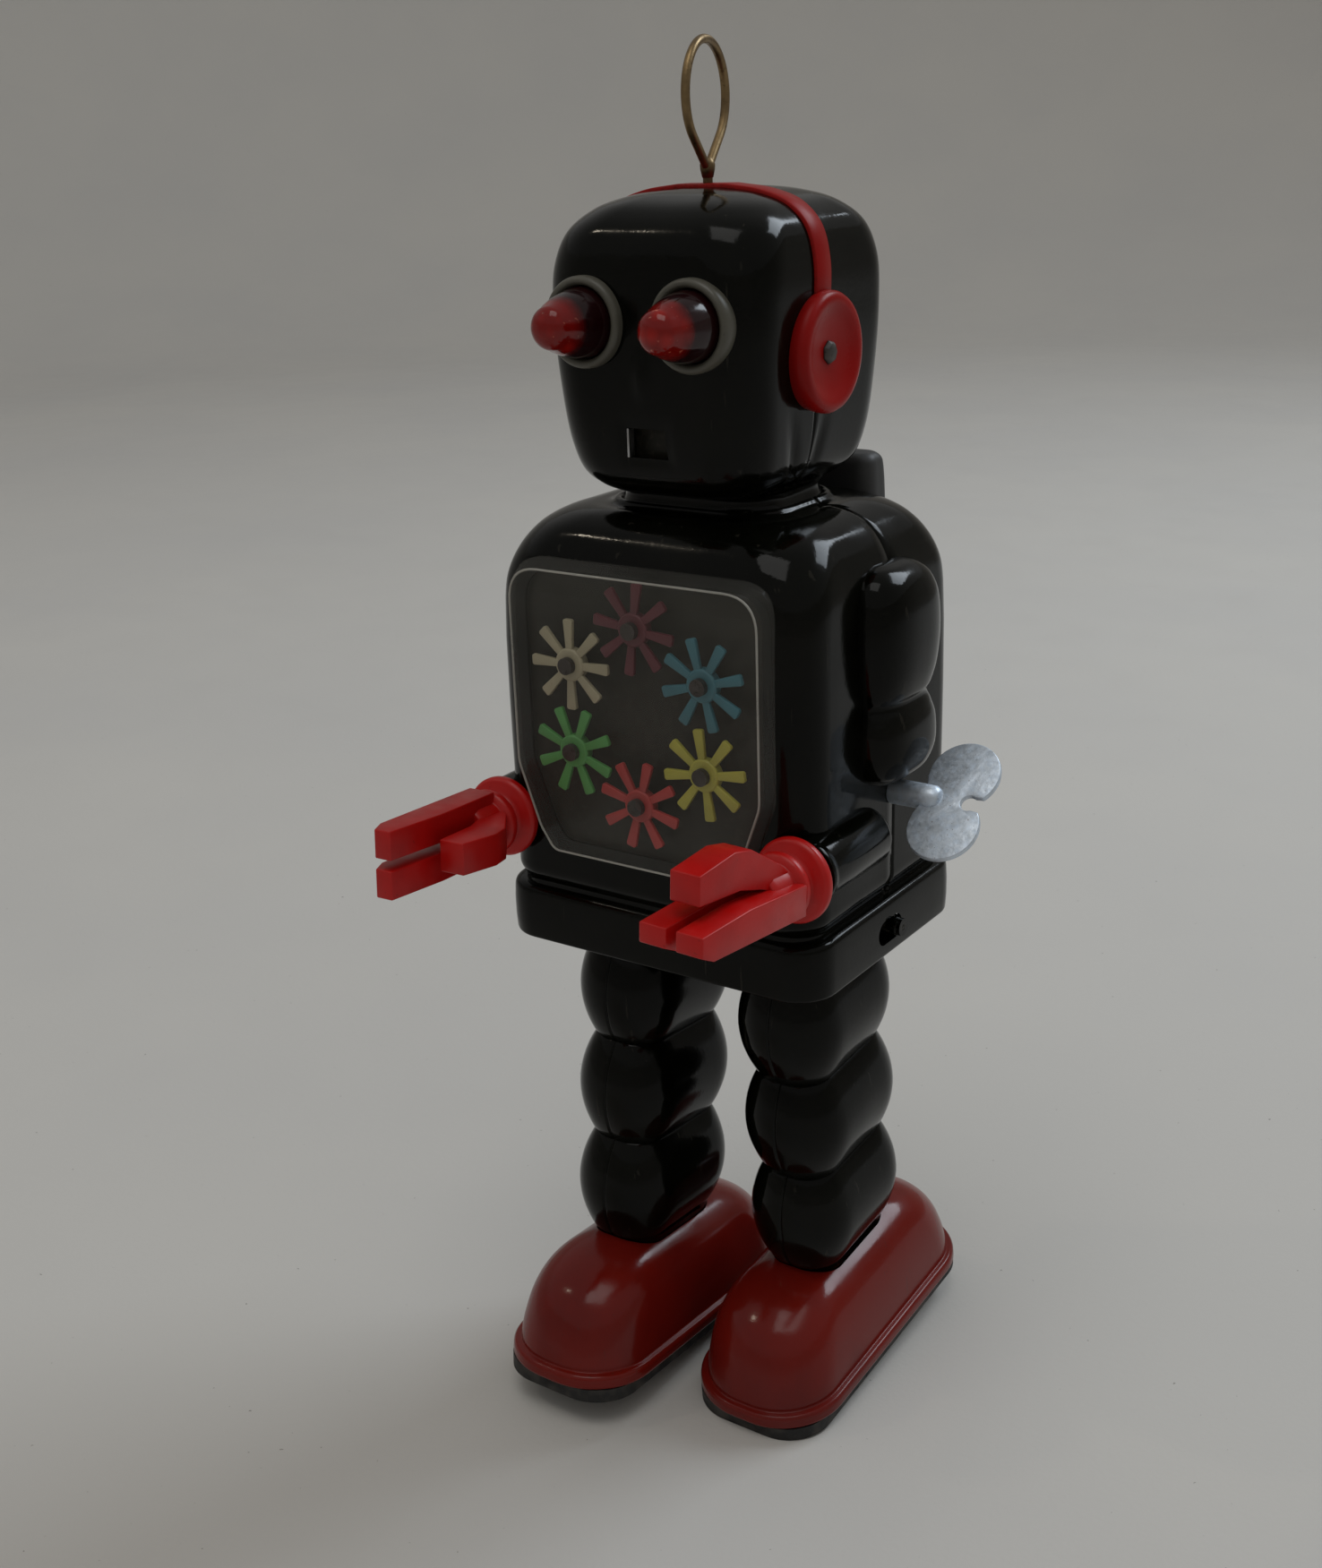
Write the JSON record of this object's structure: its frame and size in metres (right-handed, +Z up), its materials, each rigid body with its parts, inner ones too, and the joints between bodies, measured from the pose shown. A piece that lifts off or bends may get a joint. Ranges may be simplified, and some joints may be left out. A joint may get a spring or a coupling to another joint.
{
  "type": "wind-up tin robot",
  "caption": "Wind-up tin robot with striding legs, gripping hands, spoked chest wheels behind a clear window, a wire antenna and a side key.",
  "frame": {"origin": "on the floor, under the middle of the whole robot's bounding box", "axes": "+Z up, the robot faces -Y, +X is its own left side"},
  "size_m": [0.0913, 0.107, 0.251],
  "materials": {
    "black_lacquer": "glossy black lacquer on tin",
    "red_enamel": "bright red enamel on tin",
    "bezel_plastic": "pale grey-cream moulding",
    "lens_red": "translucent red moulding",
    "dark_metal": "dark rivet heads",
    "brass_wire": "brown tarnished wire",
    "grey_lacquer": "dark grey lacquer on tin",
    "clear_plastic": "clear blister",
    "chest_backing": "dark printed tin",
    "hand_red": "bright red moulding",
    "foot_red": "worn brick red lacquer on tin",
    "sole_black": "black tin",
    "roller_black": "black rubber",
    "key_steel": "mottled grey steel",
    "knob_black": "black steel",
    "works_steel": "plain steel",
    "works_brass": "plain brass",
    "spring_steel": "blued spring steel",
    "wheel_dark_red": "moulded",
    "wheel_teal": "moulded",
    "wheel_yellow": "moulded",
    "wheel_red": "moulded",
    "wheel_green": "moulded",
    "wheel_cream": "moulded"
  },
  "bodies": {
    "torso": {"head_front_shell": "black_lacquer", "head_rear_shell": "black_lacquer", "head_band": "red_enamel", "ear_disc_left": "red_enamel", "eye_bezel_left": "bezel_plastic", "eye_lens_left": "lens_red", "ear_disc_right": "red_enamel", "eye_bezel_right": "bezel_plastic", "eye_lens_right": "lens_red", "ear_rivets": "dark_metal", "antenna": "brass_wire", "neck_collar": "black_lacquer", "torso_front_shell": "black_lacquer", "torso_rear_shell": "black_lacquer", "backpack": "grey_lacquer", "chest_window": "clear_plastic", "chest_plate": "chest_backing", "skirt": "black_lacquer", "chest_wheel_pins": "dark_metal", "upper_arm_left": "black_lacquer", "forearm_left": "black_lacquer", "upper_arm_right": "black_lacquer", "forearm_right": "black_lacquer", "motor_plate_left": "works_steel", "motor_plate_right": "works_steel", "motor_pillars": "works_steel", "mainspring": "spring_steel", "hip_bracket": "works_steel", "hip_axle": "works_steel"},
    "key": {"winding_key": "key_steel", "winding_arbor": "works_steel", "ratchet_wheel": "works_steel"},
    "great": {"great_wheel": "works_brass", "click": "works_steel"},
    "crank": {"crank_shaft": "works_steel"},
    "second": {"second_wheel": "works_brass"},
    "escape": {"escape_wheel": "works_brass"},
    "verge_rocker": {"verge": "works_steel"},
    "stop": {"stop_lever": "knob_black"},
    "star_top": {"chest_wheel_top": "wheel_dark_red"},
    "star_upper_left": {"chest_wheel_upper_left": "wheel_teal"},
    "star_lower_left": {"chest_wheel_lower_left": "wheel_yellow"},
    "star_bottom": {"chest_wheel_bottom": "wheel_red", "chest_drive_shaft": "dark_metal"},
    "star_lower_right": {"chest_wheel_lower_right": "wheel_green"},
    "star_upper_right": {"chest_wheel_upper_right": "wheel_cream"},
    "left_hand": {"hand_left": "hand_red"},
    "right_hand": {"hand_right": "hand_red"},
    "left_leg": {"leg_inner_shell_left": "black_lacquer", "leg_outer_shell_left": "black_lacquer", "leg_lever_left": "works_steel", "foot_upper_left": "foot_red", "foot_sole_left": "sole_black"},
    "left_roller": {"foot_roller_left": "roller_black"},
    "right_leg": {"leg_inner_shell_right": "black_lacquer", "leg_outer_shell_right": "black_lacquer", "leg_lever_right": "works_steel", "foot_upper_right": "foot_red", "foot_sole_right": "sole_black"},
    "right_roller": {"foot_roller_right": "roller_black"}
  },
  "joints": [
    {"name": "key_turn", "type": "hinge", "parent": "torso", "child": "key", "pos_m": [0.01405, 0.01192, 0.1245], "axis": [1, 0, 0], "continuous": true},
    {"name": "great_wheel_turn", "type": "hinge", "parent": "torso", "child": "great", "pos_m": [0.00165, 0.01192, 0.1245], "axis": [1, 0, 0], "continuous": true},
    {"name": "crank_turn", "type": "hinge", "parent": "torso", "child": "crank", "pos_m": [-0.00595, 0.00992, 0.11024], "axis": [1, 0, 0], "continuous": true},
    {"name": "second_wheel_turn", "type": "hinge", "parent": "torso", "child": "second", "pos_m": [-0.00595, -0.00244, 0.1256], "axis": [1, 0, 0], "continuous": true},
    {"name": "escape_wheel_turn", "type": "hinge", "parent": "torso", "child": "escape", "pos_m": [-0.00595, -0.00244, 0.1356], "axis": [1, 0, 0], "continuous": true},
    {"name": "star_bottom_turn", "type": "hinge", "parent": "torso", "child": "star_bottom", "pos_m": [-0.00595, -0.01878, 0.1256], "axis": [0, 1, 0], "continuous": true},
    {"name": "star_lower_left_turn", "type": "hinge", "parent": "torso", "child": "star_lower_left", "pos_m": [0.00773, -0.01878, 0.1335], "axis": [0, 1, 0], "continuous": true},
    {"name": "star_upper_left_turn", "type": "hinge", "parent": "torso", "child": "star_upper_left", "pos_m": [0.00773, -0.01878, 0.1493], "axis": [0, 1, 0], "continuous": true},
    {"name": "star_top_turn", "type": "hinge", "parent": "torso", "child": "star_top", "pos_m": [-0.00595, -0.01878, 0.1572], "axis": [0, 1, 0], "continuous": true},
    {"name": "star_upper_right_turn", "type": "hinge", "parent": "torso", "child": "star_upper_right", "pos_m": [-0.01963, -0.01878, 0.1493], "axis": [0, 1, 0], "continuous": true},
    {"name": "star_lower_right_turn", "type": "hinge", "parent": "torso", "child": "star_lower_right", "pos_m": [-0.01963, -0.01878, 0.1335], "axis": [0, 1, 0], "continuous": true},
    {"name": "verge_rock", "type": "hinge", "parent": "torso", "child": "verge_rocker", "pos_m": [-0.00595, -0.00244, 0.1442], "axis": [1, 0, 0], "range_deg": [-4, 4]},
    {"name": "stop_lever_slide", "type": "hinge", "parent": "torso", "child": "stop", "pos_m": [0.01405, 0.01142, 0.118], "axis": [1, 0, 0], "range_deg": [-12, 0]},
    {"name": "left_hand_turn", "type": "hinge", "parent": "torso", "child": "left_hand", "pos_m": [0.02505, -0.01828, 0.118], "axis": [-0.0522, -0.9962, 0.0698], "continuous": true},
    {"name": "right_hand_turn", "type": "hinge", "parent": "torso", "child": "right_hand", "pos_m": [-0.03695, -0.01828, 0.118], "axis": [0.0522, -0.9962, 0.0698], "continuous": true},
    {"name": "left_leg_swing", "type": "hinge", "parent": "torso", "child": "left_leg", "pos_m": [0.01105, 0.00992, 0.1], "axis": [1, 0, 0], "range_deg": [-13.6, 3.8]},
    {"name": "right_leg_swing", "type": "hinge", "parent": "torso", "child": "right_leg", "pos_m": [-0.02295, 0.00992, 0.1], "axis": [1, 0, 0], "range_deg": [-3.8, 13.6]},
    {"name": "left_roller_turn", "type": "hinge", "parent": "left_leg", "child": "left_roller", "pos_m": [0.01105, 0.00211, 0.00387], "axis": [1, 0, 0], "continuous": true},
    {"name": "right_roller_turn", "type": "hinge", "parent": "right_leg", "child": "right_roller", "pos_m": [-0.02295, -0.01414, 0.0066], "axis": [1, 0, 0], "continuous": true}
  ],
  "couplings": [
    {"joint": "crank_turn", "follows": "great_wheel_turn", "ratio": -5},
    {"joint": "second_wheel_turn", "follows": "great_wheel_turn", "ratio": -5},
    {"joint": "escape_wheel_turn", "follows": "great_wheel_turn", "ratio": 20},
    {"joint": "star_bottom_turn", "follows": "great_wheel_turn", "ratio": -10},
    {"joint": "star_lower_left_turn", "follows": "great_wheel_turn", "ratio": 10},
    {"joint": "star_upper_left_turn", "follows": "great_wheel_turn", "ratio": -10},
    {"joint": "star_top_turn", "follows": "great_wheel_turn", "ratio": 10},
    {"joint": "star_upper_right_turn", "follows": "great_wheel_turn", "ratio": -10},
    {"joint": "star_lower_right_turn", "follows": "great_wheel_turn", "ratio": 10},
    {"joint": "right_leg_swing", "follows": "left_leg_swing", "ratio": -1}
  ]
}
